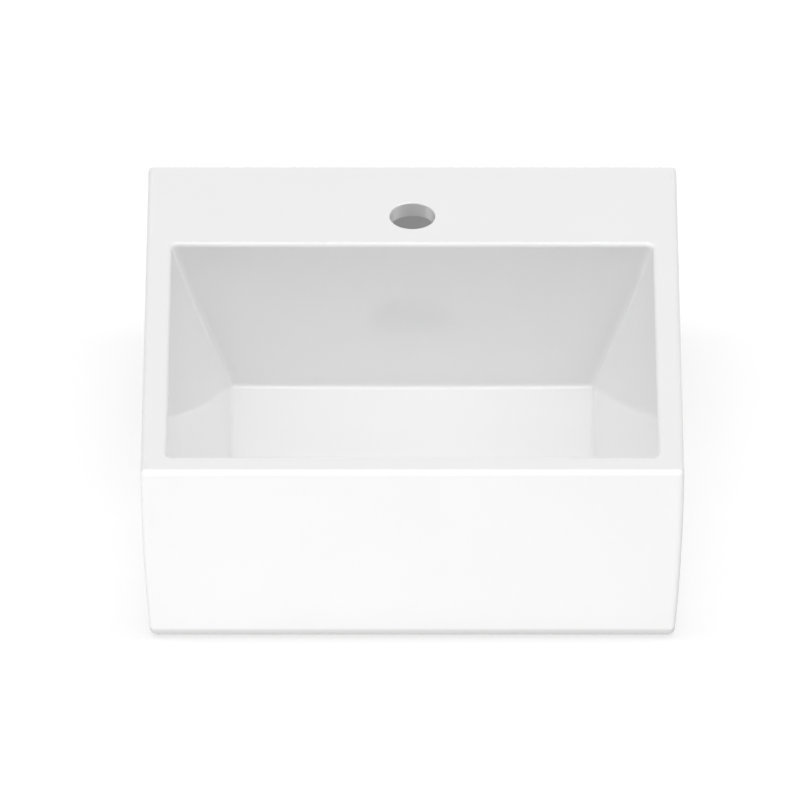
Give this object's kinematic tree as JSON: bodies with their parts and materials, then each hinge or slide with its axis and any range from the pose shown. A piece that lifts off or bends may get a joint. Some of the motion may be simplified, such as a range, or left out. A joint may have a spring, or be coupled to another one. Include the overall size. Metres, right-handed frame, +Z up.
{
  "type": "semi-recessed basin",
  "caption": "Rectangular white ceramic basin, half let into a worktop, with a tap hole, a slotted click waste and wall studs.",
  "frame": {"origin": "where the top of the worktop meets the wall, half way across the basin", "axes": "+X to the right seen from the front, +Y into the wall, +Z up"},
  "size_m": [0.41, 0.47, 0.2077],
  "materials": {
    "china": "white gloss glaze",
    "chromed_brass": "polished chrome plate",
    "raw_brass": "turned brass",
    "spring_steel": "drawn wire",
    "zinc_steel": "bright zinc plate",
    "black_rubber": "moulded, matt",
    "white_foam_rubber": "soft, matt",
    "white_nylon": "moulded nylon",
    "grey_acetal": "moulded acetal"
  },
  "bodies": {
    "basin": {"basin_body": "china", "overflow_ring": "chromed_brass", "flange_seal": "white_foam_rubber", "waste_body": "chromed_brass", "boss_seal": "black_rubber", "slip_washer": "white_nylon", "back_nut": "raw_brass", "cartridge_cup": "raw_brass", "cartridge_lid": "raw_brass", "cartridge_spring": "spring_steel", "wall_studs": "zinc_steel", "stud_sleeves": "white_nylon", "stud_washers": "zinc_steel", "stud_nuts": "zinc_steel"},
    "plug": {"plug_cap": "chromed_brass", "plug_seal": "black_rubber", "plug_stem": "zinc_steel", "plunger": "raw_brass"},
    "ratchet": {"ratchet_ring": "grey_acetal"}
  },
  "joints": [
    {"name": "plug_slide", "type": "slide", "parent": "basin", "child": "plug", "axis": [0, 0, 1], "range_m": [0, 0.008], "deforming": ["cartridge_spring"]},
    {"name": "ratchet_turn", "type": "hinge", "parent": "plug", "child": "ratchet", "pos_m": [0, -0.248, -0.1517], "axis": [0, 0, 1], "range_deg": [0, 46]}
  ],
  "couplings": [
    {"joint": "ratchet_turn", "follows": "plug_slide", "rad_per_m": 98.16}
  ]
}
